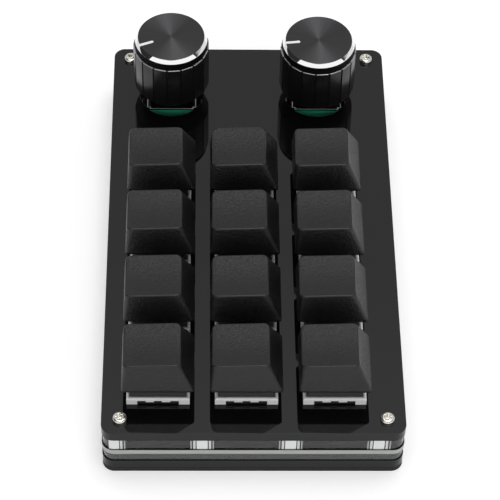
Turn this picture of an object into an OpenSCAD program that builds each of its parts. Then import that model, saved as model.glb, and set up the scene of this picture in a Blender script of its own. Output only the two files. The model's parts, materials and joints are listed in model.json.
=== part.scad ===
// Macro keypad: twelve mechanical keys and two push-and-turn knobs on an acrylic sandwich case.
// Millimetres. +X is to the right, +Y to the back, +Z up.
// The origin is at the centre of the underside, on the surface the keypad stands on.

/* [Case] */
// Width of the case, left to right
case_w = 75; // [70:0.5:110]
// Length of the case, front to back
case_l = 131.5; // [120:0.5:180]
// Radius of the case's corners, seen from above
corner_r = 3; // [1:0.25:6]
// Thickness of the black top plate
top_t = 3; // [2:0.5:5]
// Thickness of the clear spacer above the circuit board
upper_t = 4; // [3.6:0.1:5]
// Thickness of the circuit board
board_t = 1.6; // [1:0.2:2]
// Thickness of the clear spacer below the circuit board
lower_t = 3; // [2.5:0.5:6]
// Thickness of the black base plate
base_t = 3; // [2:0.5:5]
// Thickness of the anti-slip mat
mat_t = 1.5; // [1.4:0.1:3]
// How far the spacers stay back from the plates' edges
spacer_inset = 0.3; // [0:0.1:1]
// Width of the lower spacer's frame
frame_w = 7.5; // [7:0.5:9]

/* [Corner screws] */
// Distance of a screw from the side edge of the case
screw_side = 4.6; // [4:0.1:8]
// Distance of a screw from the front or back edge of the case
screw_end = 4.2; // [4:0.1:8]
// Diameter of the screws' thread
screw_d = 2; // [2:0.5:2.5]
// Diameter of the screws' pan heads
screw_head_d = 3.5; // [3:0.1:4.5]
// Height of the screws' pan heads
screw_head_h = 1.3; // [1:0.1:2]
// Width of a nut across its flats
nut_af = 4; // [3.5:0.5:5]
// Height of a nut
nut_h = 1.2; // [1:0.1:1.4]

/* [Key layout] */
// Distance between neighbouring keys' centres, both ways
pitch = 21.8; // [20:0.1:25]
// How far the middle of the key block lies to the right of the case's middle
keys_x = -1.75; // [-3:0.05:3]
// Distance of the front row's centre from the case's front edge
keys_front = 16.6; // [15:0.1:20]

/* [Keycaps] */
// Width of a keycap's skirt, both ways
cap_base = 18; // [17:0.1:18.6]
// Size of a keycap's top, left to right
cap_top_x = 14.1; // [12:0.1:15]
// Size of a keycap's top, front to back
cap_top_y = 13.2; // [12:0.1:15]
// How far a keycap's top lies to the left of its skirt's middle
cap_lean = 1.5; // [0:0.1:1.8]
// Height of a keycap at the left edge of its top
cap_h_left = 7.4; // [7:0.1:9]
// Height of a keycap at the right edge of its top
cap_h_right = 7.95; // [7:0.05:9.5]
// Depth of the dish in a keycap's top
dish_depth = 0.9; // [0.3:0.1:1.2]
// Wall of a keycap
cap_wall = 1.3; // [1:0.1:1.3]
// Gap between a keycap's skirt and the switch's rim, key pressed down
skirt_clear = 0.3; // [0.1:0.1:1]
// Travel of a key
key_travel = 4; // [3:0.1:5]

/* [Switches] */
// Width of a switch body where it passes the top plate
switch_body = 13.9; // [13.5:0.1:14]
// Width of the switch's rim on the top plate
switch_rim = 15.6; // [15:0.1:16]
// Depth of a switch body below the top plate's surface
switch_depth = 5; // [4.5:0.1:5.5]
// Height of a switch's housing above the top plate's surface
switch_h = 6.5; // [6:0.1:6.8]
// Width of the switch housing's roof
switch_roof = 11; // [10:0.1:11.4]
// Width of the slider along X
slider_x = 5.6; // [5.6:0.1:6]
// Width of the slider along Y
slider_y = 6.8; // [6:0.1:6.8]
// Length of the slider's cross above the housing
cross_h = 3.6; // [3:0.1:4]

/* [Knobs] */
// Diameter of a knob
knob_d = 20.5; // [16:0.5:24]
// Height of a knob
knob_h = 18.2; // [16:0.1:22]
// Place of the left knob along X
left_knob_x = -21.3; // [-23:0.05:-15]
// Place of the right knob along X
right_knob_x = 18.55; // [15:0.05:22]
// Distance of the knobs' axes from the case's back edge
knobs_back = 16.9; // [14:0.05:20]
// Gap between the top plate and the left knob
left_knob_gap = 3.8; // [1:0.05:4]
// Gap between the top plate and the right knob
right_knob_gap = 2.65; // [1:0.05:4]
// Direction of the left knob's pointer, degrees from +X
left_pointer = 202; // [0:1:359]
// Direction of the right knob's pointer, degrees from +X
right_pointer = 187; // [0:1:359]
// Number of grooves round a knob
grooves = 17; // [8:1:24]
// Travel of a knob when it is pressed
knob_travel = 0.5; // [0.3:0.1:0.6]
// Diameter of the hole in the top plate round each encoder
encoder_hole_d = 17.7; // [17.5:0.1:20]

/* [Encoders] */
// Width of an encoder's body
encoder_w = 12; // [11.5:0.1:13]
// Height of an encoder's body above the circuit board
encoder_h = 7; // [6.5:0.1:7.5]
// Diameter of an encoder's shaft
shaft_d = 6; // [5:0.1:7.5]
// Length of an encoder's shaft above its body
shaft_l = 15; // [13:0.5:16]
// Wall of an encoder's threaded neck
neck_wall = 0.44; // [0.4:0.02:1.5]
// Length of an encoder's threaded neck
neck_l = 5; // [3:0.5:5]

/* [Fits] */
// Radial clearance of a part that turns or slides
running_gap = 0.06; // [0.02:0.01:0.1]
// Clearance of a part that is pushed on or screwed in
seat_gap = 0.03; // [0.01:0.01:0.05]
// Clearance round a fixed part in its cut-out
loose_gap = 0.15; // [0.05:0.05:0.3]

/* [Hidden] */
$fn = 64;
hull_fn = 28;
cut = 0.5;
columns = 3;
rows = 4;
key_count = columns * rows;

// Heights of the layers
mat_top = mat_t;
base_top = mat_top + base_t;
board_z = base_top + lower_t;
board_top = board_z + board_t;
plate_z = board_top + upper_t;
plate_top = plate_z + top_t;

// Key centres, counted from the back left
function key_x(n) = keys_x + (n % columns - (columns - 1) / 2) * pitch;
function key_y(n) = -case_l / 2 + keys_front + (rows - 1 - floor(n / columns)) * pitch;

// Corner screws
screw_x = case_w / 2 - screw_side;
screw_y = case_l / 2 - screw_end;
screw_gap = 0.1;
screw_hole_d = screw_d + 2 * screw_gap;
screw_clear = 0.1;
screw_l = plate_top - screw_clear;
screw_edge = 0.35;
recess_w = 0.55;
recess_l = 2.1;
recess_h = 0.8;
recess_turn = 20;

// Cut-outs round the switches and encoders
plate_gap = 0.05;
spacer_gap = 0.5;
encoder_side = 2;
encoder_front = 3;

// Switch
rim_t = 2.2;
rim_bevel = 0.35;
cap_gap = rim_t + key_travel + skirt_clear;
waist_in = 0.7;
cover_waist = switch_rim - 2 * waist_in;
roof_t = 1.2;
foot_room = 0.6;
shoulder_room = 1.8;
leg_w = 2.7;
bridge_z = 0.95;
bridge_t = 0.9;
latch_t = 0.8;
latch_low = 0.1;
latch_in = 0.1;
latch_gap = 0.05;
latch_w = switch_rim - 2 * leg_w - 2 * latch_gap;
rim_recess = 0.35;
rim_recess_h = 0.6;
// Recesses in the bridge: place along X and width
rim_recesses = [[-4.1, 2.1], [0, 1.9], [4.1, 2.1]];
base_wall = 1.55;
base_cavity = switch_body - 2 * base_wall;
floor_t = 1;
post_d = 4;
post_l = 3.3;
tower_d = 3.3;
tower_top = -1.2;
pole_d = 1.9;
pole_room = 0.4;
post_floor = 0.5;
pole_end = key_travel + pole_room + post_floor - switch_depth - post_l;
bottom_gap = 0.4;
slider_bottom = floor_t - switch_depth + key_travel + bottom_gap;
foot_step = 1.4;
foot_x = slider_x + 2 * foot_step;
cam_w = 0.6;
cam_out = 0.3;
cam_h = 1.8;
stop_gap = 0.04;
spring_r = 2.05;
wire_d = 0.3;
spring_turns = 6;
spring_steps = 8;
pocket_d = 2 * spring_r + wire_d + 2 * loose_gap;
end_pitch = 1.1 * wire_d;
pocket_top = slider_bottom + key_travel;
pin_proud = 0.2;
pin_end = board_z - pin_proud;
pin_w = 0.9;
pin_t = 0.25;
pin_room = 0.2;
leaf_top = 0.2;
cross_l = 4;
cross_t = 1.2;
// Each contact's place and its size along X and Y
contacts = [[-2.54, -3.95, pin_w, pin_t], [-5.08, 2.54, pin_t, pin_w]];

// Keycap
cap_corner_base = 0.7;
cap_corner_top = 1.3;
cap_edge = 0.4;
cap_boss_d = 5.1;
cap_roof = 1.5;
rib_w = 0.8;
rib_h = 0.6;
cap_h_mid = (cap_h_left + cap_h_right) / 2;
cap_tilt = atan((cap_h_right - cap_h_left) / cap_top_x);
dish_r = (pow(cap_top_y / 2, 2) + pow(dish_depth, 2)) / (2 * dish_depth);
cap_ceiling = min(cap_h_left, cap_h_right) - dish_depth - cap_roof;
cap_part = cap_ceiling / cap_h_mid;
cap_mouth = cap_base - 2 * cap_wall;
room_x = cap_mouth - (cap_base - cap_top_x) * cap_part;
room_y = cap_mouth - (cap_base - cap_top_y) * cap_part;
room_lean = cap_lean * cap_part;
weld = 0.1;
sheet = 0.02;
dish_fn = 180;

// Knob
knob_bevel = 0.9;
knob_band = 1.8;
knob_band_in = 0.5;
knob_foot_h = 1.9;
knob_foot_in = 2.1;
neck_d = shaft_d + 2 * (running_gap + neck_wall);
well_room = 2.5;
knob_well_d = neck_d + 2 * well_room;
knob_well_h = 5.6;
knob_chamfer_h = 1;
knob_bore_h = 14;
groove_r = 0.3;
groove_turn = 10;
pointer_w = 0.85;
pointer_h = 0.25;
pointer_in = 5.1;
set_screw_d = 3;
set_screw_l = 6;
set_screw_h = 10.5;
set_screw_turn = 90;
hex_af = 1.5;
hex_depth = 2;
knob_y = case_l / 2 - knobs_back;

// Encoder, heights counted from the top of the circuit board
cover_t = 0.8;
cover_side = 2.2;
cover_side_w = encoder_w - 1.2;
tab_w = 2.2;
tab_t = 0.7;
tab_drop = 2;
encoder_floor = 0.6;
encoder_wall = 0.8;
encoder_room_d = encoder_w - 2 * encoder_wall;
rotor_room = 0.5;
rotor_d = encoder_room_d - 2 * rotor_room;
rotor_bottom = 2.4;
rotor_drop = 1.6;
rotor_top = encoder_h - cover_t - rotor_drop;
drive_w = 3;
drive_bottom = 1.3;
collar_step = 0.8;
collar_d = shaft_d + 2 * collar_step;
collar_t = 0.7;
collar_top = encoder_h - cover_t - stop_gap;
shaft_flat = 1.5;
shaft_flat_l = 10;
terminal_w = 0.8;
terminal_t = 0.3;
terminal_z = 1.2;
terminal_drop = 2.6;
terminal_in = 1;
terminal_pitch = 2.5;
terminal_out = 1.5;
switch_terminal_out = 1;
// Each terminal's place beside the encoder
terminals = [for (i = [-1, 0, 1]) [i * terminal_pitch, -encoder_w / 2 - terminal_out],
    for (i = [-1, 1]) [i * terminal_pitch, encoder_w / 2 + switch_terminal_out]];

// Parts on the board
usb_room = 1;
usb_w = 8.94;
usb_h = 3.16;
usb_l = 7.35;
usb_wall = 0.3;
usb_mouth = 6.2;
tongue_w = 6.7;
tongue_t = 0.7;
tongue_l = 5;
lug_w = 1;
lug_t = 0.25;
lug_in = 0.05;
lug_rise = 0.3;
lug_short = 0.2;
// Distances of the lugs from the socket's mouth
lugs = [1.6, 5.8];
chip_x = 9.9;
chip_y = 3.9;
chip_h = 1.5;
chip_lead_w = 0.4;
chip_lead_l = 1.05;
chip_lead_t = 0.2;
chip_lead_pitch = 1.27;
chip_leads = 8;
chip_behind = 14.17;
chip_place = [keys_x, key_y(0) + chip_behind];
diode_x = 2.7;
diode_y = 1.6;
diode_h = 1.1;
diode_lead_w = 0.9;
diode_lead_l = 0.5;
diode_lead_t = 0.2;
diode_off = [-1.5, 9.6];

// ---- Shared shapes ----

// Rectangle with round corners, centred
module round_rect(w, l, r) {
    square([w - 2 * r, l], center = true);
    square([w, l - 2 * r], center = true);
    for (sx = [-1, 1], sy = [-1, 1])
        translate([sx * (w / 2 - r), sy * (l / 2 - r)]) circle(r);
}

// Layer of the case's outline, from height z
module layer(z, t, inset = 0) {
    translate([0, 0, z])
        linear_extrude(t)
            round_rect(case_w - 2 * inset, case_l - 2 * inset, max(corner_r - inset, 0.5));
}

module at_screws() {
    for (sx = [-1, 1], sy = [-1, 1])
        translate([sx * screw_x, sy * screw_y, 0]) children();
}

module at_keys() {
    for (n = [0 : key_count - 1])
        translate([key_x(n), key_y(n), 0]) children();
}

module at_encoders() {
    for (x = [left_knob_x, right_knob_x])
        translate([x, knob_y, 0]) children();
}

// Screw holes through a layer
module screw_holes(z, t) {
    at_screws() translate([0, 0, z - cut]) cylinder(h = t + 2 * cut, d = screw_hole_d);
}

// Square holes for the switch bodies
module switch_holes(z, t, gap) {
    w = switch_body + 2 * gap;
    at_keys() translate([-w / 2, -w / 2, z - cut]) cube([w, w, t + 2 * cut]);
}

// Box centred on X and Y, standing on height z
module block(x, y, z, h) {
    translate([-x / 2, -y / 2, z]) cube([x, y, h]);
}

// ---- Case ----

module top_plate() {
    color("#161616")
    difference() {
        layer(plate_z, top_t);
        switch_holes(plate_z, top_t, plate_gap);
        at_encoders() translate([0, 0, plate_z - cut]) cylinder(h = top_t + 2 * cut, d = encoder_hole_d);
        screw_holes(plate_z, top_t);
    }
}

module upper_spacer() {
    socket_w = usb_w + 2 * loose_gap;
    color("#dfe8ea")
    difference() {
        layer(board_top, upper_t, spacer_inset);
        switch_holes(board_top, upper_t, spacer_gap);
        at_encoders()
            block(encoder_w + 2 * encoder_side, encoder_w + 2 * encoder_front,
                board_top - cut, upper_t + 2 * cut);
        screw_holes(board_top, upper_t);
        translate([-socket_w / 2, case_l / 2 - usb_l - usb_room, board_top - cut])
            cube([socket_w, usb_l + usb_room + cut, upper_t + 2 * cut]);
    }
}

module circuit_board() {
    color("#1c1f1d")
    difference() {
        layer(board_z, board_t);
        screw_holes(board_z, board_t);
        at_keys() {
            translate([0, 0, board_z - cut]) cylinder(h = board_t + 2 * cut, d = post_d + 2 * running_gap);
            for (c = contacts)
                translate([c[0], c[1], board_z - cut])
                    cylinder(h = board_t + 2 * cut, d = pin_w + 2 * pin_room);
        }
        at_encoders() {
            for (p = terminals)
                translate([p[0], p[1], board_z - cut])
                    cylinder(h = board_t + 2 * cut, d = terminal_w + 2 * loose_gap);
            for (s = [-1, 1])
                translate([s * (encoder_w + tab_t) / 2, 0, 0])
                    block(tab_t + 2 * loose_gap, tab_w + 2 * pin_room, board_z - cut, board_t + 2 * cut);
        }
        at_lugs() block(lug_t + 2 * loose_gap, lug_w + 2 * loose_gap, board_z - cut, board_t + 2 * cut);
    }
}

module lower_spacer() {
    color("#dfe8ea")
    difference() {
        layer(base_top, lower_t, spacer_inset);
        translate([0, 0, base_top - cut])
            linear_extrude(lower_t + 2 * cut)
                round_rect(case_w - 2 * frame_w, case_l - 2 * frame_w, corner_r);
        screw_holes(base_top, lower_t);
    }
}

module base_plate() {
    color("#1a1a1a")
    difference() {
        layer(mat_top, base_t);
        screw_holes(mat_top, base_t);
    }
}

module anti_slip_mat() {
    color("#121212")
    difference() {
        layer(0, mat_t);
        at_screws() translate([0, 0, -cut])
            cylinder(h = mat_t + 2 * cut, d = nut_af / cos(30) + 2 * loose_gap);
    }
}

// Pan-head screw with a cross recess, head up, its seat at height 0
module pan_screw() {
    difference() {
        union() {
            translate([0, 0, -screw_l]) cylinder(h = screw_l + cut, d = screw_d);
            cylinder(h = screw_head_h - screw_edge, d = screw_head_d);
            translate([0, 0, screw_head_h - screw_edge])
                cylinder(h = screw_edge, d1 = screw_head_d, d2 = screw_head_d - 2 * screw_edge);
        }
        for (a = [0, 90])
            rotate([0, 0, recess_turn + a])
                block(recess_l, recess_w, screw_head_h - recess_h, recess_h + cut);
    }
}

module corner_screws() {
    color("#c9c7c0")
    at_screws() translate([0, 0, plate_top]) pan_screw();
}

module corner_nuts() {
    color("#c9c7c0")
    at_screws() translate([0, 0, mat_top - nut_h])
        difference() {
            cylinder(h = nut_h, d = nut_af / cos(30), $fn = 6);
            translate([0, 0, -cut]) cylinder(h = nut_h + 2 * cut, d = screw_d + 2 * seat_gap);
        }
}

// ---- Electronics ----

// Socket outline with fully round ends, in the XZ plane, extruded towards -Y
module socket_body(w, h, l) {
    rotate([90, 0, 0])
        linear_extrude(l) {
            square([w - h, h], center = true);
            for (s = [-1, 1]) translate([s * (w - h) / 2, 0]) circle(h / 2);
        }
}

// The socket's four lugs, seen from above
module at_lugs() {
    for (s = [-1, 1], y = lugs)
        translate([s * (usb_w / 2 - lug_in - lug_t / 2), case_l / 2 - spacer_inset - y, 0]) children();
}

module usb_socket() {
    color("#b9bcc0")
    translate([0, case_l / 2 - spacer_inset, board_top + usb_h / 2]) {
        difference() {
            socket_body(usb_w, usb_h, usb_l);
            translate([0, cut, 0])
                socket_body(usb_w - 2 * usb_wall, usb_h - 2 * usb_wall, usb_mouth + cut);
        }
        translate([-tongue_w / 2, -usb_mouth - cut, -tongue_t / 2])
            cube([tongue_w, tongue_l + cut, tongue_t]);
    }
    color("#b9bcc0")
    at_lugs() block(lug_t, lug_w, board_z + lug_short, board_t - lug_short + usb_h / 2 - lug_rise);
}

module controller_chip() {
    color("#202022")
    translate([chip_place[0], chip_place[1], 0]) {
        block(chip_x, chip_y, board_z - chip_h, chip_h - chip_lead_t);
        for (i = [0 : chip_leads - 1], s = [-1, 1])
            translate([(i - (chip_leads - 1) / 2) * chip_lead_pitch, s * (chip_y + chip_lead_l - cut) / 2, 0])
                block(chip_lead_w, chip_lead_l + cut, board_z - 2 * chip_lead_t, 2 * chip_lead_t);
    }
}

module diodes() {
    color("#2a2a2a")
    at_keys() translate([diode_off[0], diode_off[1], 0]) {
        block(diode_x, diode_y, board_z - diode_h, diode_h);
        block(diode_x + 2 * diode_lead_l, diode_lead_w, board_z - diode_lead_t, diode_lead_t);
    }
}

// Metal leaf of a switch, its lower end a pin through the circuit board
module switch_contact(c, gap) {
    translate([c[0], c[1], 0])
        block(c[2] + 2 * gap, c[3] + 2 * gap, pin_end - gap, plate_top + leaf_top - pin_end + 2 * gap);
}

// Bent terminal of an encoder, from its side into the circuit board
module encoder_terminal(p, gap) {
    side = sign(p[1]);
    inner = encoder_w / 2 - terminal_in;
    reach = abs(p[1]) + terminal_t / 2 - inner + gap;
    translate([p[0], 0, board_top]) {
        translate([0, side * (inner + reach / 2), 0])
            block(terminal_w + 2 * gap, reach, terminal_z - gap, terminal_t + 2 * gap);
        translate([0, p[1], 0])
            block(terminal_w + 2 * gap, terminal_t + 2 * gap, -terminal_drop,
                terminal_drop + terminal_z + gap);
    }
}

module contact_pins() {
    color("#c8b070") {
        at_keys() for (c = contacts) switch_contact(c, 0);
        at_encoders() for (p = terminals) encoder_terminal(p, 0);
    }
}

// ---- Switches, heights counted from the top plate's upper surface ----

// Block whose walls lean evenly from its lower to its upper size, the upper one moved along X
module taper(x0, y0, x1, y1, z, h, shift = 0) {
    big = 2 * max(x0, y0);
    intersection() {
        rotate([90, 0, 0])
            linear_extrude(big, center = true)
                polygon([[-x0 / 2, z], [x0 / 2, z], [shift + x1 / 2, z + h], [shift - x1 / 2, z + h]]);
        rotate([90, 0, 90])
            linear_extrude(big, center = true)
                polygon([[-y0 / 2, z], [y0 / 2, z], [y1 / 2, z + h], [-y1 / 2, z + h]]);
    }
}

// The cover's two latches, which go down behind the bridges of the base's rim and hook under them
module latches(gap) {
    inner = switch_rim / 2 - bridge_t - latch_gap - latch_t;
    low = gap > 0 ? 0 : latch_low;
    hook = (gap > 0 ? switch_rim / 2 + cut : switch_rim / 2 - latch_in) - inner + gap;
    for (s = [-1, 1]) {
        translate([0, s * (inner + latch_t / 2), 0])
            block(latch_w + 2 * gap, latch_t + 2 * gap, low, rim_t + cut - low);
        translate([0, s * (inner + hook / 2 - gap), 0])
            block(latch_w + 2 * gap, hook, low, bridge_z - latch_gap + gap - low);
    }
}

module switch_base() {
    narrow = switch_rim - 2 * rim_bevel;
    difference() {
        union() {
            block(switch_body, switch_body, -switch_depth, switch_depth);
            block(switch_rim, switch_rim, 0, rim_t - rim_bevel);
            taper(switch_rim, switch_rim, narrow, narrow, rim_t - rim_bevel, rim_bevel);
            translate([0, 0, -switch_depth - post_l]) cylinder(h = post_l + cut, d = post_d);
        }
        difference() {
            block(base_cavity, base_cavity, floor_t - switch_depth, switch_depth + rim_t);
            translate([0, 0, -switch_depth]) cylinder(h = switch_depth + tower_top, d = tower_d);
        }
        translate([0, 0, pole_end - key_travel - pole_room])
            cylinder(h = 2 * switch_depth, d = pole_d + 2 * running_gap);
        latches(latch_gap);
        for (s = [-1, 1], r = rim_recesses)
            translate([r[0], s * switch_rim / 2, 0])
                block(r[1], 2 * rim_recess, bridge_z - cut, cut + rim_recess_h);
    }
}

module switch_bases() {
    color("#e9ecec")
    difference() {
        at_keys() translate([0, 0, plate_top]) switch_base();
        at_keys() for (c = contacts) switch_contact(c, seat_gap);
    }
}

module switch_cover() {
    difference() {
        union() {
            taper(cover_waist, cover_waist, switch_roof, switch_roof, rim_t, switch_h - rim_t);
            latches(0);
        }
        block(foot_x + 2 * foot_room, slider_y + 2 * shoulder_room, rim_t - cut,
            switch_h - roof_t - rim_t + cut);
        block(slider_x + 2 * running_gap, slider_y + 2 * running_gap, rim_t, switch_h);
    }
}

module switch_covers() {
    color("#141414")
    at_keys() translate([0, 0, plate_top]) switch_cover();
}

// Cross on the slider, and with a gap the slot that holds it
module cross(gap, z, h) {
    block(cross_l + 2 * gap, cross_t + 2 * gap, z, h);
    block(cross_t + 2 * gap, cross_l + 2 * gap, z, h);
}

module stem(n) {
    foot_top = switch_h - roof_t - stop_gap;
    color("#7a4a2a")
    translate([key_x(n), key_y(n), plate_top]) {
        difference() {
            union() {
                block(slider_x, slider_y, slider_bottom, switch_h - slider_bottom);
                block(foot_x, slider_y, slider_bottom, foot_top - slider_bottom);
                translate([contacts[0][0], -slider_y / 2, 0])
                    block(cam_w, 2 * cam_out, slider_bottom, cam_h);
            }
            translate([0, 0, slider_bottom - cut])
                cylinder(h = pocket_top - slider_bottom + cut, d = pocket_d);
        }
        translate([0, 0, pole_end]) cylinder(h = pocket_top - pole_end + cut, d = pole_d);
        cross(0, switch_h - cut, cross_h + cut);
    }
}

// Coil spring: each step of the wire is a square ring, joined to the next by flat faces
module spring(n) {
    z0 = floor_t - switch_depth + wire_d / 2 + seat_gap;
    rise = pocket_top - seat_gap - wire_d / 2 - z0;
    count = spring_turns * spring_steps;
    function coil_z(t) = t < 1 ? t * end_pitch
        : t > spring_turns - 1 ? rise - (spring_turns - t) * end_pitch
        : end_pitch + (rise - 2 * end_pitch) * (t - 1) / (spring_turns - 2);
    points = [for (i = [0 : count], k = [0 : 3])
        let (t = i / spring_steps, a = 360 * t, r = spring_r + wire_d / 2 * cos(90 * k))
        [r * cos(a), r * sin(a), z0 + coil_z(t) + wire_d / 2 * sin(90 * k)]];
    sides = [for (i = [0 : count - 1], k = [0 : 3], half = [0, 1])
        let (a = 4 * i + k, b = 4 * i + (k + 1) % 4) half == 0 ? [a, b, b + 4] : [a, b + 4, a + 4]];
    ends = [[0, 2, 1], [0, 3, 2], [4 * count, 4 * count + 1, 4 * count + 2],
        [4 * count, 4 * count + 2, 4 * count + 3]];
    color("#d8c98a")
    translate([key_x(n), key_y(n), plate_top]) polyhedron(points, concat(sides, ends));
}

// ---- Keycaps, heights counted from the skirt's lower edge ----

module cap_outline(x, y, r) {
    linear_extrude(sheet) round_rect(x, y, r, $fn = hull_fn);
}

// Moves its children to the leaning top of a keycap
module on_cap_top(down) {
    translate([-cap_lean, 0, cap_h_mid]) rotate([0, -cap_tilt, 0]) translate([0, 0, -down]) children();
}

module cap_shell() {
    difference() {
        hull() {
            cap_outline(cap_base, cap_base, cap_corner_base);
            on_cap_top(cap_edge) cap_outline(cap_top_x, cap_top_y, cap_corner_top);
            on_cap_top(0) cap_outline(cap_top_x - cap_edge, cap_top_y - cap_edge, cap_corner_top);
        }
        on_cap_top(dish_depth - dish_r) rotate([0, 90, 0])
            cylinder(h = 2 * cap_base, r = dish_r, center = true, $fn = dish_fn);
        cap_room();
    }
}

// Hollow of a keycap: the outside's slopes, one wall further in
module cap_room() {
    taper(cap_mouth, cap_mouth, room_x, room_y, 0, cap_ceiling, -room_lean);
    translate([0, 0, -cut]) block(cap_mouth, cap_mouth, 0, cut + sheet / 2);
}

// Two crossed ribs under a keycap's ceiling, from wall to wall
module cap_ribs() {
    translate([-room_lean, 0, 0]) block(room_x + cap_wall, rib_w, cap_ceiling - rib_h, rib_h + weld);
    block(rib_w, room_y + cap_wall, cap_ceiling - rib_h, rib_h + weld);
}

module keycap(n) {
    boss_z = switch_h - cap_gap + stop_gap;
    color("#1b1b1c")
    translate([key_x(n), key_y(n), plate_top + cap_gap]) {
        cap_shell();
        difference() {
            union() {
                translate([0, 0, boss_z]) cylinder(h = cap_ceiling - boss_z + weld, d = cap_boss_d);
                cap_ribs();
            }
            cross(seat_gap, boss_z - cut, cut + cross_h + stop_gap);
        }
    }
}

// ---- Encoders, heights counted from the top of the circuit board ----

module encoder_bases() {
    wall_h = encoder_h - cover_t;
    color("#1d6b50")
    difference() {
        at_encoders() difference() {
            block(encoder_w, encoder_w, board_top, wall_h);
            translate([0, 0, board_top + encoder_floor]) cylinder(h = wall_h, d = encoder_room_d);
        }
        at_encoders() for (p = terminals) encoder_terminal(p, seat_gap);
    }
}

module encoder_covers() {
    under = encoder_h - cover_t;
    color("#b4b6b8")
    at_encoders() translate([0, 0, board_top])
        difference() {
            union() {
                block(encoder_w, encoder_w, under, cover_t);
                block(encoder_w + 2 * tab_t, cover_side_w, under, cover_t);
                translate([0, 0, under]) cylinder(h = cover_t + neck_l, d = neck_d);
                for (s = [-1, 1])
                    translate([s * (encoder_w + tab_t) / 2, 0, 0]) {
                        block(tab_t, cover_side_w, under - cover_side, cover_side + cut);
                        block(tab_t, tab_w, -tab_drop, tab_drop + under);
                    }
            }
            translate([0, 0, under - cut])
                cylinder(h = cover_t + neck_l + 2 * cut, d = shaft_d + 2 * running_gap);
        }
}

module encoder_rotor(x) {
    color("#d9d2c0")
    translate([x, knob_y, board_top])
        difference() {
            translate([0, 0, rotor_bottom]) cylinder(h = rotor_top - rotor_bottom, d = rotor_d);
            block(drive_w + 2 * running_gap, drive_w + 2 * running_gap, rotor_bottom - cut,
                rotor_top - rotor_bottom + 2 * cut);
        }
}

// Shaft: a square end that drives the rotor, a collar under the cover and a round end with a flat
module encoder_shaft(x) {
    color("#a9abad")
    translate([x, knob_y, board_top]) {
        block(drive_w, drive_w, drive_bottom, collar_top - drive_bottom);
        translate([0, 0, collar_top - collar_t]) cylinder(h = collar_t, d = collar_d);
        difference() {
            translate([0, 0, collar_top - cut])
                cylinder(h = encoder_h + shaft_l - collar_top + cut, d = shaft_d);
            rotate([0, 0, set_screw_turn])
                translate([shaft_d / 2 - shaft_flat, -shaft_d, encoder_h + shaft_l - shaft_flat_l])
                    cube([shaft_d, 2 * shaft_d, shaft_flat_l + cut]);
        }
    }
}

// ---- Knobs, heights counted from the knob's lower face ----

module knob(x, gap, pointer) {
    r = knob_d / 2;
    band_r = r - knob_band_in;
    disc_r = band_r - knob_bevel;
    band_z = knob_h - knob_chamfer_h - knob_band;
    color("#1c1c1f")
    translate([x, knob_y, plate_top + gap])
        difference() {
            rotate_extrude()
                polygon([[0, 0], [r - knob_foot_in, 0], [r, knob_foot_h], [r, band_z], [band_r, band_z],
                    [band_r, knob_h - knob_chamfer_h], [disc_r, knob_h], [0, knob_h]]);
            translate([0, 0, -cut]) cylinder(h = knob_well_h + cut, d = knob_well_d);
            translate([0, 0, -cut]) cylinder(h = knob_bore_h + cut, d = shaft_d + 2 * seat_gap);
            for (i = [0 : grooves - 1])
                rotate([0, 0, groove_turn + i * 360 / grooves]) translate([r, 0, -cut])
                    cylinder(h = band_z + 2 * cut, r = groove_r);
            rotate([0, 0, pointer]) translate([pointer_in, -pointer_w / 2, knob_h - pointer_h])
                cube([r, pointer_w, pointer_h + cut]);
            rotate([0, 0, set_screw_turn]) translate([0, 0, set_screw_h]) rotate([0, 90, 0])
                cylinder(h = r + cut, d = set_screw_d + 2 * seat_gap);
        }
}

module set_screw(x, gap) {
    inner = shaft_d / 2 - shaft_flat + seat_gap;
    color("#3a3a3c")
    translate([x, knob_y, plate_top + gap + set_screw_h])
        rotate([0, 0, set_screw_turn]) translate([inner, 0, 0]) rotate([0, 90, 0])
            difference() {
                cylinder(h = set_screw_l, d = set_screw_d);
                translate([0, 0, set_screw_l - hex_depth])
                    cylinder(h = hex_depth + cut, d = hex_af / cos(30), $fn = 6);
            }
}

top_plate();
upper_spacer();
circuit_board();
lower_spacer();
base_plate();
anti_slip_mat();
corner_screws();
corner_nuts();
usb_socket();
controller_chip();
diodes();
contact_pins();
switch_bases();
switch_covers();
encoder_bases();
encoder_covers();
encoder_rotor(left_knob_x);  // encoder_rotor_left
encoder_rotor(right_knob_x);  // encoder_rotor_right
encoder_shaft(left_knob_x);  // encoder_shaft_left
encoder_shaft(right_knob_x);  // encoder_shaft_right
knob(left_knob_x, left_knob_gap, left_pointer);  // knob_left
knob(right_knob_x, right_knob_gap, right_pointer);  // knob_right
set_screw(left_knob_x, left_knob_gap);  // set_screw_left
set_screw(right_knob_x, right_knob_gap);  // set_screw_right
keycap(0);  // keycap_1
keycap(1);  // keycap_2
keycap(2);  // keycap_3
keycap(3);  // keycap_4
keycap(4);  // keycap_5
keycap(5);  // keycap_6
keycap(6);  // keycap_7
keycap(7);  // keycap_8
keycap(8);  // keycap_9
keycap(9);  // keycap_10
keycap(10);  // keycap_11
keycap(11);  // keycap_12
stem(0);  // stem_1
stem(1);  // stem_2
stem(2);  // stem_3
stem(3);  // stem_4
stem(4);  // stem_5
stem(5);  // stem_6
stem(6);  // stem_7
stem(7);  // stem_8
stem(8);  // stem_9
stem(9);  // stem_10
stem(10);  // stem_11
stem(11);  // stem_12
spring(0);  // spring_1
spring(1);  // spring_2
spring(2);  // spring_3
spring(3);  // spring_4
spring(4);  // spring_5
spring(5);  // spring_6
spring(6);  // spring_7
spring(7);  // spring_8
spring(8);  // spring_9
spring(9);  // spring_10
spring(10);  // spring_11
spring(11);  // spring_12
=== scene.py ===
import json
import math

import bmesh
import bpy
import numpy as np
from mathutils import Matrix, Quaternion, Vector

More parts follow.
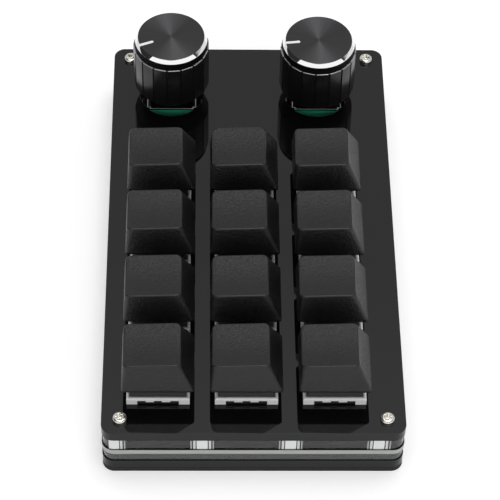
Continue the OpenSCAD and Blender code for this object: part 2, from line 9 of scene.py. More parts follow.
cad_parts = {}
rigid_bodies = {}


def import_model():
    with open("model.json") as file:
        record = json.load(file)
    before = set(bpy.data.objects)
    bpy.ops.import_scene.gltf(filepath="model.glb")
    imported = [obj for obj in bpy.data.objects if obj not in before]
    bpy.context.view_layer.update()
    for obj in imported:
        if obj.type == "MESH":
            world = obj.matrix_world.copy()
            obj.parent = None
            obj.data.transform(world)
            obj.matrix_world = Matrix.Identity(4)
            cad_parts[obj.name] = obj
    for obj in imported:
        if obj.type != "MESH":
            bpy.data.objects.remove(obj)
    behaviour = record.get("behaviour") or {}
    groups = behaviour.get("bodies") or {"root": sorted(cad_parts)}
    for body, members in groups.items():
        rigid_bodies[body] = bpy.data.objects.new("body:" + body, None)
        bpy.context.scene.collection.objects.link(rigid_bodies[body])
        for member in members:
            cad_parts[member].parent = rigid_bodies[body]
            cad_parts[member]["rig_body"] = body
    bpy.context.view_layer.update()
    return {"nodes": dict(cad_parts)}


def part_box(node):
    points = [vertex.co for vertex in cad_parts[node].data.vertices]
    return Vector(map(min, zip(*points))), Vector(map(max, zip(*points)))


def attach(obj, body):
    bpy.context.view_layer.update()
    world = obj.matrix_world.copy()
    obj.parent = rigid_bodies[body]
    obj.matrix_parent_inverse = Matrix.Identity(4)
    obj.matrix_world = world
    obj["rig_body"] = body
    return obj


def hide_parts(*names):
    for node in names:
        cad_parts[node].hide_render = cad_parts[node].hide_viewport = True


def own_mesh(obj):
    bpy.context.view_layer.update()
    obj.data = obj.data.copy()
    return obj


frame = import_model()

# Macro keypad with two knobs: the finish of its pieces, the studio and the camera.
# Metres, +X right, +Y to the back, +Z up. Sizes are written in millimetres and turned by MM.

MM = 0.001
POINT_SIZE = 1e-9        # metres: points within this lie in one place
nodes = frame["nodes"]


# ---------------------------------------------------------------- helpers

def linear(colour):
    """An sRGB hex colour as linear RGBA."""
    parts = [int(colour[i:i + 2], 16) / 255 for i in (0, 2, 4)]
    return tuple(p / 12.92 if p <= 0.04045 else ((p + 0.055) / 1.055) ** 2.4 for p in parts) + (1.0,)


def add(tree, kind, values=None, links=None, **settings):
    """Adds a shader node with its settings, its inputs' values and its inputs' links."""
    node = tree.nodes.new(kind)
    for name, value in settings.items():
        setattr(node, name, value)
    for name, value in (values or {}).items():
        node.inputs[name].default_value = value
    for name, socket in (links or {}).items():
        tree.links.new(socket, node.inputs[name])
    return node


def material(name, colour, **sockets):
    """A material with one Principled shader, its sockets set by name (underscores stand for spaces)."""
    made = bpy.data.materials.new(name)
    made.use_nodes = True
    shader = made.node_tree.nodes["Principled BSDF"]
    shader.inputs["Base Color"].default_value = linear(colour)
    for socket, value in sockets.items():
        shader.inputs[socket.replace("_", " ")].default_value = value
    return made, made.node_tree, shader


def finish_with(tree, shader, **sources):
    """Links sources to the shader's sockets."""
    for socket, source in sources.items():
        tree.links.new(source, shader.inputs[socket.replace("_", " ")])


def mapped(tree, scale_mm, place=(0, 0, 0), stretch=(1, 1, 1)):
    """Object coordinates counted in units of scale_mm from a place, stretched along the axes."""
    coords = add(tree, "ShaderNodeTexCoord")
    turn = add(tree, "ShaderNodeMapping", links={"Vector": coords.outputs["Object"]}, vector_type="TEXTURE")
    turn.inputs["Location"].default_value = place
    turn.inputs["Scale"].default_value = [scale_mm * MM * s for s in stretch]
    return turn.outputs["Vector"]


def grey_stops(ramp, stops):
    """Gives a colour ramp its grey stops, each a place and a level."""
    while len(ramp.elements) < len(stops):
        ramp.elements.new(0.5)
    for stop, (place, level) in zip(ramp.elements, stops):
        stop.position = place
        stop.color = (level, level, level, 1)


def grid_mesh(name, grid):
    """A closed mesh from a grid of points. Each row is a ring round the shape, and rows run from one pole
    to the other; a row whose points coincide is one pole vertex. Faces are turned outwards by the signed
    volume."""
    rows, columns = grid.shape[:2]
    pole = np.ptp(grid, axis=1).max(axis=1) < POINT_SIZE
    number = np.zeros((rows, columns), int)
    points = []
    total = 0
    for row in range(rows):
        count = 1 if pole[row] else columns
        number[row] = total + (np.zeros(columns, int) if pole[row] else np.arange(columns))
        points.append(grid[row, :count])
        total += count
    points = np.concatenate(points)
    following = np.roll(number, -1, axis=1)
    quads = np.stack([number[:-1], following[:-1], following[1:], number[1:]], axis=-1).reshape(-1, 4)
    centre = points.mean(axis=0)
    a, b, c, d = (points[quads[:, k]] - centre for k in range(4))
    volume = np.einsum("ij,ij->", a, np.cross(b, c)) + np.einsum("ij,ij->", a, np.cross(c, d))
    if volume < 0:
        quads = quads[:, ::-1]
    faces = [list(dict.fromkeys(quad)) for quad in quads.tolist()]
    mesh = bpy.data.meshes.new(name)
    mesh.from_pydata(points.tolist(), [], faces)
    mesh.polygons.foreach_set("use_smooth", np.ones(len(mesh.polygons), bool))
    return mesh


def piece(name, mesh, body, materials, replaced=None):
    """Puts a mesh into the scene as a piece of a body, with its finish and the node that it stands for."""
    made = bpy.data.objects.new(name, mesh)
    bpy.context.scene.collection.objects.link(made)
    for finish in materials:
        mesh.materials.append(finish)
    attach(made, body)
    if replaced:
        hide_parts(replaced)
    return made


def row_finishes(mesh, grid, breaks):
    """Gives faces a material by the row of the grid that they lie on: breaks are (first row, material
    index). The grid's faces are the mesh's first, and any others keep the first material."""
    columns = grid.shape[1]
    first = np.repeat(np.arange(grid.shape[0] - 1), columns)
    index = np.zeros(len(mesh.polygons), int)
    for row, which in breaks:
        index[:len(first)][first >= row] = which
    mesh.polygons.foreach_set("material_index", index)


SAME_POINT = 0.002 * MM              # corners nearer than this are one
SAME_FACE = math.radians(0.5)        # faces that turn by less than this are one
BEVEL_ANGLE = math.radians(35)       # edges that turn by more than this are rounded
UPRIGHT = 0.5                        # a face is upright where its normal's Z stays under this


def softened(node, width, finishes):
    """A node's own shape with its corners merged, its flat faces whole and its edges rounded by a bevel
    of two steps. The second of two finishes goes to its upright faces."""
    shape = bmesh.new()
    shape.from_mesh(nodes[node].data)
    bmesh.ops.remove_doubles(shape, verts=shape.verts, dist=SAME_POINT)
    bmesh.ops.dissolve_limit(shape, angle_limit=SAME_FACE, verts=shape.verts, edges=shape.edges)
    shape.verts.index_update()
    mesh = bpy.data.meshes.new(node + "_finished")
    mesh.from_pydata([v.co for v in shape.verts], [], [[v.index for v in f.verts] for f in shape.faces])
    shape.free()
    mesh.polygons.foreach_set("use_smooth", np.ones(len(mesh.polygons), bool))
    if len(finishes) > 1:
        facing = np.zeros(len(mesh.polygons) * 3)
        mesh.polygons.foreach_get("normal", facing)
        mesh.polygons.foreach_set("material_index", (np.abs(facing[2::3]) < UPRIGHT).astype(int))
    made = piece(node + "_finished", mesh, nodes[node]["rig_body"], finishes, node)
    bevel = made.modifiers.new("edges", "BEVEL")
    bevel.width = width * MM
    bevel.segments = 2
    bevel.limit_method = "ANGLE"
    bevel.angle_limit = BEVEL_ANGLE
    bevel.harden_normals = True


# ---------------------------------------------------------------- finishes

def black_acrylic():
    """Polished cast sheet: near black and mirror-like, with its gloss a little smeared."""
    made, tree, shader = material("black_cast_acrylic", "0b0b0c", Roughness=0.035, IOR=1.49)
    smear = add(tree, "ShaderNodeTexNoise", {"Scale": 1.0, "Detail": 4.0}, {"Vector": mapped(tree, 9)})
    rough = add(tree, "ShaderNodeMapRange",
                {"From Min": 0.35, "From Max": 0.75, "To Min": 0.025, "To Max": 0.06},
                {"Value": smear.outputs["Fac"]})
    finish_with(tree, shader, Roughness=rough.outputs["Result"])
    return made


def cut_edge():
    """The cut edge of the black sheet: a little duller than its faces, with fine upright marks from the
    cutter."""
    made, tree, shader = material("laser_cut_black_acrylic", "0b0b0c", Roughness=0.1, IOR=1.3)
    marks = add(tree, "ShaderNodeTexNoise", {"Scale": 1.0, "Detail": 2.0},
                {"Vector": mapped(tree, 0.8, stretch=(1, 1, 30))})
    rough = add(tree, "ShaderNodeMapRange",
                {"From Min": 0.3, "From Max": 0.7, "To Min": 0.06, "To Max": 0.16},
                {"Value": marks.outputs["Fac"]})
    finish_with(tree, shader, Roughness=rough.outputs["Result"])
    return made


KEY_PITCH = 21.8 * MM
KEY_WEB_X, KEY_WEB_Y = -12.65 * MM, 5.35 * MM    # the middle of one web between wells, along X and along Y
END_FACE, SIDE_FACE = 65.2, 36.9                 # millimetres from the middle, past which an outer edge lies
LAST_WELL = 34.0                                 # millimetres: no well lies further back
# The window and bars of painted light at a web, made milky white where the real clear sheet pipes light: each
# stop is a distance from it in key pitches, and how milky it is there.
PAINTED_WEB_WINDOWS = ((0, 1), (0.062, 0), (0.0734, 0.8), (0.1, 0), (0.115, 0.5), (0.131, 0))


def painted_window_acrylic():
    """Clear sheet with wells for the switches. Light runs lengthwise through the webs between the wells, and
    that light is painted here: the outer edges are milky white, not clear, in a bright window at each web,
    with thinner bars beside it from the wells' walls, and stay clear elsewhere. The distance to the nearest
    web is a triangle wave of the key pitch."""
    made, tree, shader = material("clear_acrylic_with_painted_light_windows", "f4f6f6", Roughness=0.04, IOR=1.49)
    webs = Vector((KEY_WEB_X, KEY_WEB_Y, 0))
    places = add(tree, "ShaderNodeSeparateXYZ", links={"Vector": mapped(tree, KEY_PITCH / MM, webs)})
    spots = add(tree, "ShaderNodeSeparateXYZ", links={"Vector": mapped(tree, 1)})
    along_x = add(tree, "ShaderNodeMath", {1: 0.5}, {0: places.outputs["X"]}, operation="PINGPONG")
    along_y = add(tree, "ShaderNodeMath", {1: 0.5}, {0: places.outputs["Y"]}, operation="PINGPONG")
    out_x = add(tree, "ShaderNodeMath", links={0: spots.outputs["X"]}, operation="ABSOLUTE")
    out_y = add(tree, "ShaderNodeMath", links={0: spots.outputs["Y"]}, operation="ABSOLUTE")
    ends = add(tree, "ShaderNodeMath", {1: END_FACE}, {0: out_y.outputs[0]}, operation="GREATER_THAN")
    flanks = add(tree, "ShaderNodeMath", {1: SIDE_FACE}, {0: out_x.outputs[0]}, operation="GREATER_THAN")
    keys = add(tree, "ShaderNodeMath", {1: LAST_WELL}, {0: spots.outputs["Y"]}, operation="LESS_THAN")
    sides = add(tree, "ShaderNodeMath", links={0: flanks.outputs[0], 1: keys.outputs[0]},
                operation="MULTIPLY")
    beside = add(tree, "ShaderNodeMix", {"A": 0.5}, {"Factor": sides.outputs[0], "B": along_y.outputs[0]})
    near = add(tree, "ShaderNodeMix", links={"Factor": ends.outputs[0], "A": beside.outputs[0],
                                            "B": along_x.outputs[0]})
    # painted light: milky windows and bars that stand in for light piped through the clear sheet
    glow = add(tree, "ShaderNodeValToRGB", links={"Fac": near.outputs[0]})
    glow.color_ramp.interpolation = "CONSTANT"
    grey_stops(glow.color_ramp, PAINTED_WEB_WINDOWS)
    clear = add(tree, "ShaderNodeMath", {0: 1.0}, {1: glow.outputs["Color"]}, operation="SUBTRACT")
    finish_with(tree, shader, Transmission_Weight=clear.outputs[0])
    return made


def clear_acrylic():
    """Clear sheet with sawn edges, which scatter a little light, and faint upright marks from the cutter."""
    made, tree, shader = material("sawn_clear_acrylic", "e6ecec", Roughness=0.08, IOR=1.49,
                                  Transmission_Weight=0.93)
    marks = add(tree, "ShaderNodeTexNoise", {"Scale": 1.0, "Detail": 2.0},
                {"Vector": mapped(tree, 1.2, stretch=(1, 1, 30))})
    bump = add(tree, "ShaderNodeBump", {"Strength": 0.15, "Distance": 0.02 * MM},
               {"Height": marks.outputs["Fac"]})
    finish_with(tree, shader, Normal=bump.outputs["Normal"])
    return made


def circuit_board():
    """Glass-fibre board: black solder mask above and below, bare pale edge with the laminate's layers."""
    made, tree, shader = material("solder_mask_board", "161817", Roughness=0.35, IOR=1.5)
    geometry = add(tree, "ShaderNodeNewGeometry")
    split = add(tree, "ShaderNodeSeparateXYZ", links={"Vector": geometry.outputs["Normal"]})
    flat = add(tree, "ShaderNodeMath", {1: 0.5}, {0: split.outputs["Z"]}, operation="GREATER_THAN")
    under = add(tree, "ShaderNodeMath", {1: -0.5}, {0: split.outputs["Z"]}, operation="LESS_THAN")
    masked = add(tree, "ShaderNodeMath", links={0: flat.outputs[0], 1: under.outputs[0]}, operation="ADD")
    layers = add(tree, "ShaderNodeTexNoise", {"Scale": 1.0, "Detail": 3.0},
                 {"Vector": mapped(tree, 6, stretch=(1, 1, 0.03))})
    edge = add(tree, "ShaderNodeMix", {"A": linear("c4c5bf"), "B": linear("a2a39c")},
               {"Factor": layers.outputs["Fac"]}, data_type="RGBA")
    blotch = add(tree, "ShaderNodeTexNoise", {"Scale": 1.0, "Detail": 2.0}, {"Vector": mapped(tree, 2.5)})
    mask = add(tree, "ShaderNodeMix", {"A": linear("121413"), "B": linear("1a1d1b")},
               {"Factor": blotch.outputs["Fac"]}, data_type="RGBA")
    both = add(tree, "ShaderNodeMix", links={"Factor": masked.outputs[0], "A": edge.outputs["Result"],
                                             "B": mask.outputs["Result"]}, data_type="RGBA")
    finish_with(tree, shader, Base_Color=both.outputs["Result"])
    return made


def keycap_plastic():
    """Blank black PBT cap: moulded in a spark-eroded tool, so it has a matt grain. The real grain is about a
    quarter millimetre, and it is drawn twice as coarse, or it would not show."""
    made, tree, shader = material("grained_black_pbt", "0f0f10", Roughness=0.4, IOR=1.47)
    grain = add(tree, "ShaderNodeTexNoise", {"Scale": 1.0, "Detail": 3.0, "Roughness": 0.6},
                {"Vector": mapped(tree, 0.55)})
    bump = add(tree, "ShaderNodeBump", {"Strength": 1.0, "Distance": 0.2 * MM},
               {"Height": grain.outputs["Fac"]})
    tone = add(tree, "ShaderNodeMix", {"A": linear("0b0b0c"), "B": linear("131314")},
               {"Factor": grain.outputs["Fac"]}, data_type="RGBA")
    rough = add(tree, "ShaderNodeMapRange",
                {"From Min": 0.35, "From Max": 0.65, "To Min": 0.3, "To Max": 0.5},
                {"Value": grain.outputs["Fac"]})
    finish_with(tree, shader, Normal=bump.outputs["Normal"], Base_Color=tone.outputs["Result"],
                Roughness=rough.outputs["Result"])
    return made


def rubbed_edge():
    """The edge round a cap's top, where the grain is worn nearly smooth by fingers."""
    made, tree, shader = material("rubbed_black_pbt", "101011", Roughness=0.3, IOR=1.5)
    wear = add(tree, "ShaderNodeTexNoise", {"Scale": 1.0, "Detail": 2.0}, {"Vector": mapped(tree, 0.7)})
    rough = add(tree, "ShaderNodeMapRange", {"To Min": 0.24, "To Max": 0.36}, {"Value": wear.outputs["Fac"]})
    finish_with(tree, shader, Roughness=rough.outputs["Result"])
    return made


def anodised_body():
    """Black anodised aluminium, lathe turned: a thin clear oxide that shines at its sides, over near black,
    with faint rings round the axis, one every third of a millimetre."""
    made, tree, shader = material("black_anodised_aluminium", "151516", Roughness=0.22, IOR=1.42)
    rings = add(tree, "ShaderNodeTexNoise", {"Scale": 1.0, "Detail": 1.0},
                {"Vector": mapped(tree, 0.33, stretch=(40, 40, 1))})
    bump = add(tree, "ShaderNodeBump", {"Strength": 0.35, "Distance": 0.02 * MM},
               {"Height": rings.outputs["Fac"]})
    finish_with(tree, shader, Normal=bump.outputs["Normal"])
    return made


def rim_painted_highlight():
    """The barrel's upper edge as a band of bare bright aluminium: a painted highlight along the edge, its
    tone varied at random.
    """
    made, tree, shader = material("rim_painted_highlight_metal", "a4a4a6", Metallic=1.0, Roughness=0.22)
    # painted highlight: the rim's bright metal band, its tone varied at random
    wear = add(tree, "ShaderNodeTexNoise", {"Scale": 1.0, "Detail": 2.0}, {"Vector": mapped(tree, 1.6)})
    tone = add(tree, "ShaderNodeMix", {"A": linear("868688"), "B": linear("bcbcbe")},
               {"Factor": wear.outputs["Fac"]}, data_type="RGBA")
    finish_with(tree, shader, Base_Color=tone.outputs["Result"])
    return made


def undercut_painted_shade():
    """The turned undercut below a knob's head, with painted shade: anodised over rough tool marks, and made
    near black, dull and weakly reflecting, so that it holds no light and stays as dark as shade in the gap.
    """
    made, tree, shader = material("undercut_painted_shade_black", "060607", Roughness=0.65, IOR=1.15)
    marks = add(tree, "ShaderNodeTexNoise", {"Scale": 1.0, "Detail": 1.0},
                {"Vector": mapped(tree, 0.2, stretch=(40, 40, 1))})
    bump = add(tree, "ShaderNodeBump", {"Strength": 0.5, "Distance": 0.03 * MM},
               {"Height": marks.outputs["Fac"]})
    finish_with(tree, shader, Normal=bump.outputs["Normal"])
    return made


def spun_top(side, axis):
    """A knob's face: black anodised over fine turning rings, which spread light into two opposite fans, with
    faint spokes where the cutter's pressure varied: a noise read on a circle round the axis, for which the
    height is stretched until it counts for nothing."""
    made, tree, shader = material("spun_black_aluminium_" + side, "4d4d4f", Metallic=1.0, Roughness=0.34,
                                  Anisotropic=0.93)
    tangent = add(tree, "ShaderNodeTangent", direction_type="UV_MAP", uv_map="round")
    circle = add(tree, "ShaderNodeVectorMath", operation="NORMALIZE")
    tree.links.new(mapped(tree, 1, (axis.x, axis.y, 0), (1, 1, 1e6)), circle.inputs[0])
    spokes = add(tree, "ShaderNodeTexNoise", {"Scale": 14.0, "Detail": 2.0},
                 {"Vector": circle.outputs["Vector"]})
    tone = add(tree, "ShaderNodeMix", {"A": linear("464648"), "B": linear("545455")},
               {"Factor": spokes.outputs["Fac"]}, data_type="RGBA")
    finish_with(tree, shader, Tangent=tangent.outputs["Tangent"], Base_Color=tone.outputs["Result"])
    return made


def polished_chamfer():
    """Chamfer cut through the black coat after anodising: bare bright aluminium."""
    made, tree, shader = material("diamond_cut_aluminium", "f2f2f2", Metallic=1.0, Roughness=0.05)
    rings = add(tree, "ShaderNodeTexNoise", {"Scale": 1.0, "Detail": 2.0}, {"Vector": mapped(tree, 1.5)})
    rough = add(tree, "ShaderNodeMapRange", {"To Min": 0.03, "To Max": 0.07}, {"Value": rings.outputs["Fac"]})
    finish_with(tree, shader, Roughness=rough.outputs["Result"])
    return made


def pointer_paint():
    """White enamel wiped into the engraved line."""
    made, tree, shader = material("white_enamel", "fcfcfa", Roughness=0.3)
    fleck = add(tree, "ShaderNodeTexNoise", {"Scale": 1.0, "Detail": 2.0}, {"Vector": mapped(tree, 0.4)})
    tone = add(tree, "ShaderNodeMix", {"A": linear("f8f8f6"), "B": linear("ffffff")},
               {"Factor": fleck.outputs["Fac"]}, data_type="RGBA")
    finish_with(tree, shader, Base_Color=tone.outputs["Result"])
    return made


def clouded_metal(name, colour, roughness):
    """Metal as it comes from plating, drawing, casting or turning: its gloss is a little cloudy."""
    made, tree, shader = material(name, colour, Metallic=1.0, Roughness=roughness)
    cloud = add(tree, "ShaderNodeTexNoise", {"Scale": 1.0, "Detail": 3.0}, {"Vector": mapped(tree, 0.6)})
    rough = add(tree, "ShaderNodeMapRange", {"To Min": roughness * 0.6, "To Max": roughness * 1.5},
                {"Value": cloud.outputs["Fac"]})
    finish_with(tree, shader, Roughness=rough.outputs["Result"])
    return made


def moulded(name, light, dark, roughness, grain_mm=0.5, **sockets):
    """Injection-moulded plastic: two close tones and a faint grain from the tool."""
    made, tree, shader = material(name, light, Roughness=roughness, **sockets)
    grain = add(tree, "ShaderNodeTexNoise", {"Scale": 1.0, "Detail": 3.0}, {"Vector": mapped(tree, grain_mm)})
    tone = add(tree, "ShaderNodeMix", {"A": linear(dark), "B": linear(light)},
               {"Factor": grain.outputs["Fac"]}, data_type="RGBA")
    bump = add(tree, "ShaderNodeBump", {"Strength": 0.2, "Distance": 0.02 * MM},
               {"Height": grain.outputs["Fac"]})
    finish_with(tree, shader, Base_Color=tone.outputs["Result"], Normal=bump.outputs["Normal"])
    return made


ACRYLIC_BLACK = black_acrylic()
CUT_EDGE = cut_edge()
PAINTED_WINDOW_GUIDE = painted_window_acrylic()
ACRYLIC_CLEAR = clear_acrylic()
BOARD = circuit_board()
CAP = keycap_plastic()
CAP_EDGE = rubbed_edge()
KNOB_BODY = anodised_body()
KNOB_EDGE = polished_chamfer()
# painted highlight on the barrel's upper edge
KNOB_RIM_HIGHLIGHT = rim_painted_highlight()
# painted shade: the undercut below each knob's head is made to stay dark
KNOB_NECK_SHADE = undercut_painted_shade()
PAINT = pointer_paint()
NICKEL = clouded_metal("nickel_plated_steel", "e4e1da", 0.1)       # bright and a little warm
SHELL = clouded_metal("drawn_tin_steel", "b4b6b8", 0.28)           # grey satin
CAST = clouded_metal("bright_die_cast_zinc", "e4e6e8", 0.11)       # bright and a little blue
SHAFT = clouded_metal("turned_aluminium", "a8aaac", 0.3)           # grey, softly shining
BLACKED = clouded_metal("black_oxide_steel", "2a2a2c", 0.4)        # near black and dull
SPRING = clouded_metal("gold_plated_wire", "c8a860", 0.2)          # yellow and shining
BRASS = clouded_metal("tinned_brass", "c4b48c", 0.3)               # pale yellow satin
SWITCH_BLACK = moulded("moulded_black_nylon", "1a1a1b", "121213", 0.45)                # half matt black
SWITCH_MILKY = moulded("milky_polycarbonate", "fdfefe", "f6f8f8", 0.22, IOR=1.58)      # glossy white
STEM = moulded("moulded_brown_pom", "6a3a1e", "5c3018", 0.4)                           # waxy brown
ENCODER = moulded("moulded_green_nylon", "3fd6a8", "36c496", 0.35)                     # sea green
ROTOR = moulded("moulded_natural_pom", "cfc8b4", "c4bca6", 0.45)                       # waxy cream
CHIP = moulded("moulded_epoxy", "1c1c1e", "151516", 0.55, 0.15)                        # matt black
RUBBER = moulded("black_sponge_rubber", "101010", "080808", 0.8, 0.4)                  # dull black


# ---------------------------------------------------------------- keycaps

CAP_BASE = 9.0 * MM                  # half the skirt's width
CAP_WALL = 1.3 * MM
CAP_TOP = (7.05 * MM, 6.6 * MM)      # half the top's sides
CAP_LEAN = 1.5 * MM                  # how far the top stands to the left of the skirt
CAP_HEIGHT = 7.675 * MM              # over the skirt's edge, at the middle of the top's front and back edges
CAP_TILT = math.atan2(0.55, 14.1)    # the top's rise over its width
CAP_DISH = 0.9 * MM
CAP_CEILING = 5.0 * MM
BASE_CORNER, TOP_CORNER, INNER_CORNER = 0.8 * MM, 1.5 * MM, 0.4 * MM
LIP = 0.15 * MM                      # bevel of the skirt's edge
TOP_ROUNDING = 0.4 * MM
WALL_ROWS, ROUNDING_ROWS, TOP_ROWS = 12, 6, 9
BOSS_RADIUS, BOSS_FOOT = 2.55 * MM, 0.05 * MM
BOSS_SUNK = 0.3 * MM                 # how far the boss runs into the ceiling
CROSS = (2.03 * MM, 0.63 * MM)       # half the length and half the width of the cross's arms
CROSS_CEILING = 3.7 * MM
PAST_CORNER = 1e-4                   # radians past a corner of the cross, where its next side starts


def rounded_outline(half_x, half_y, corner):
    """Points round a rectangle with round corners: four quarter circles of seven points, joined by straight
    sides of nine evenly spaced points. Always as many points, so that outlines of different sizes can be
    joined."""
    quarter = np.linspace(0, math.pi / 2, 7)
    along = np.linspace(0, 1, 11)[1:-1]
    corners = ((1, 1), (-1, 1), (-1, -1), (1, -1))
    points = []
    for k, (x, y) in enumerate(corners):
        next_x, next_y = corners[(k + 1) % 4]
        turn = quarter + k * math.pi / 2
        centre = np.array([x * (half_x - corner), y * (half_y - corner)])
        arc = centre + corner * np.stack([np.cos(turn), np.sin(turn)], axis=1)
        after = np.array([next_x * (half_x - corner), next_y * (half_y - corner)])
        end = after + corner * np.array([math.cos(turn[-1]), math.sin(turn[-1])])
        points += [arc, arc[-1] + along[:, None] * (end - arc[-1])]
    return np.concatenate(points)


def cap_top_height(x, y):
    """Height of a cap's top: a plane that rises to the right, less a round trough that runs left to right."""
    radius = (CAP_TOP[1] ** 2 + CAP_DISH ** 2) / (2 * CAP_DISH)
    trough = CAP_DISH - radius + np.sqrt(radius ** 2 - y ** 2)
    return CAP_HEIGHT + math.tan(CAP_TILT) * (x + CAP_LEAN) - trough


def ring(outline, height, shift=0.0):
    """An outline set at a height, or at a height for each of its points, and moved along X."""
    return np.stack([outline[:, 0] + shift, outline[:, 1], np.zeros(len(outline)) + height], axis=1)


def cap_grid():
    """A sculpted cap, from the middle of its ceiling down the inner wall, round the skirt's edge, up the
    outer wall in straight lines, round the upper edge by quadratic arcs, and in over the dished top.
    Returns the grid and the rows where the rubbed edge starts and ends."""
    inside = rounded_outline(CAP_BASE - CAP_WALL, CAP_BASE - CAP_WALL, INNER_CORNER)
    part = CAP_CEILING / CAP_HEIGHT
    ceiling = rounded_outline(CAP_BASE - CAP_WALL - (CAP_BASE - CAP_TOP[0]) * part,
                              CAP_BASE - CAP_WALL - (CAP_BASE - CAP_TOP[1]) * part, INNER_CORNER)
    foot = ring(rounded_outline(CAP_BASE, CAP_BASE, BASE_CORNER), 0)
    lip = ring(rounded_outline(CAP_BASE - LIP, CAP_BASE - LIP, BASE_CORNER), 0)
    top_outline = rounded_outline(*CAP_TOP, TOP_CORNER)
    brim = ring(top_outline, 0, -CAP_LEAN)
    brim[:, 2] = cap_top_height(brim[:, 0], top_outline[:, 1])
    wall = np.linspace(0, 1, WALL_ROWS)[:, None, None]
    wall_length = np.linalg.norm(brim - foot, axis=1)[None, :, None]
    last = 1 - TOP_ROUNDING / wall_length
    lowest = LIP / wall_length
    outer = foot + (brim - foot) * (lowest + (last - lowest) * wall)
    inward = top_outline * (1 - TOP_ROUNDING / CAP_TOP[1])
    landing = ring(inward, cap_top_height(inward[:, 0] - CAP_LEAN, inward[:, 1]), -CAP_LEAN)
    turn = np.linspace(0, 1, ROUNDING_ROWS + 1)[1:, None, None]
    rounding = (1 - turn) ** 2 * outer[-1] + 2 * turn * (1 - turn) * brim + turn ** 2 * landing
    over = []
    for share in np.linspace(1, 0, TOP_ROWS + 1)[1:]:
        spot = inward * share
        over.append(ring(spot, cap_top_height(spot[:, 0] - CAP_LEAN, spot[:, 1]), -CAP_LEAN))
    shift = -CAP_LEAN * part
    inner = [ring(ceiling * 0, CAP_CEILING, shift), ring(ceiling, CAP_CEILING, shift), ring(inside, 0), lip]
    edge = len(inner) + WALL_ROWS - 1
    return np.stack(inner + list(outer) + list(rounding) + over), [(edge, 1), (edge + ROUNDING_ROWS - 1, 0)]


def boss_grid():
    """The boss that grips the switch: a round post with a cross-shaped socket. The cross is the larger of two
    rectangles' distances from the middle at each angle."""
    corner = math.atan2(CROSS[1], CROSS[0])
    base = np.array([-corner, 0, corner, corner + PAST_CORNER, math.pi / 4,
                     math.pi / 2 - corner - PAST_CORNER])
    angles = np.concatenate([base + k * math.pi / 2 for k in range(4)])

    def box(a, b):
        with np.errstate(divide="ignore"):
            return np.minimum(a / np.abs(np.cos(angles)), b / np.abs(np.sin(angles)))
    radius = np.maximum(box(*CROSS), box(*CROSS[::-1]))
    way = np.stack([np.cos(angles), np.sin(angles)], axis=1)
    post, socket = way * BOSS_RADIUS, way * radius[:, None]
    top = CAP_CEILING + BOSS_SUNK
    return np.stack([ring(post * 0, top), ring(post, top), ring(post, BOSS_FOOT), ring(socket, BOSS_FOOT),
                     ring(socket, CROSS_CEILING), ring(socket * 0, CROSS_CEILING)])


def joined(name, grids):
    """One mesh of several closed grids."""
    shape = bmesh.new()
    for k, grid in enumerate(grids):
        part = grid_mesh(name + str(k), grid)
        shape.from_mesh(part)
        bpy.data.meshes.remove(part)
    mesh = bpy.data.meshes.new(name)
    shape.to_mesh(mesh)
    shape.free()
    return mesh


def make_keycap(number):
    """A cap on its switch: the shell and the boss that grips the switch's cross."""
    node = "keycap_%d" % number
    low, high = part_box(node)
    place = Vector(((low.x + high.x) / 2, (low.y + high.y) / 2, low.z))
    shell, edges = cap_grid()
    mesh = joined(node + "_shell", [shell, boss_grid()])
    row_finishes(mesh, shell, edges)
    mesh.transform(Matrix.Translation(place))
    piece(node + "_shell", mesh, "key_%d" % number, [CAP, CAP_EDGE], node)


for number in range(1, 13):
    make_keycap(number)


# ---------------------------------------------------------------- springs

WIRE_RADIUS = 0.15 * MM
SPRING_TURNS, SPRING_END_PITCH = 6, 0.33 * MM
STEPS_PER_TURN, WIRE_SIDES = 24, 8


def spring_grid(size):
    """A round wire carried along a helix. Its first and last turns lie closed, and it climbs evenly between
    them. Rows run along the wire and columns round it, and each end closes at its middle."""
    turn = np.linspace(0, SPRING_TURNS, STEPS_PER_TURN * SPRING_TURNS + 1)[:, None]
    rise = size.z - 2 * WIRE_RADIUS
    climb = np.interp(turn, [0, 1, SPRING_TURNS - 1, SPRING_TURNS],
                      [0, SPRING_END_PITCH, rise - SPRING_END_PITCH, rise])
    section = np.linspace(0, 2 * math.pi, WIRE_SIDES + 1)[None, :-1]
    reach = size.x / 2 - WIRE_RADIUS + WIRE_RADIUS * np.cos(section)
    angle = 2 * math.pi * turn
    height = climb + WIRE_RADIUS * (1 + np.sin(section))
    wire = np.stack([reach * np.cos(angle), reach * np.sin(angle), height], axis=-1)
    ends = wire[[0, -1]] * 0 + wire[[0, -1]].mean(axis=1, keepdims=True)
    return np.concatenate([ends[:1], wire, ends[1:]])


def make_spring(number):
    """A key's return spring, which shortens towards its seat as the key goes down."""
    node = "spring_%d" % number
    low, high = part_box(node)
    seat = Vector(((low.x + high.x) / 2, (low.y + high.y) / 2, low.z))
    mesh = grid_mesh(node + "_coil", spring_grid(high - low))
    mesh.transform(Matrix.Translation(seat))
    coil = piece(node + "_coil", mesh, nodes[node]["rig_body"], [SPRING], node)
    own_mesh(coil)


for number in range(1, 13):
    make_spring(number)


# ---------------------------------------------------------------- knobs

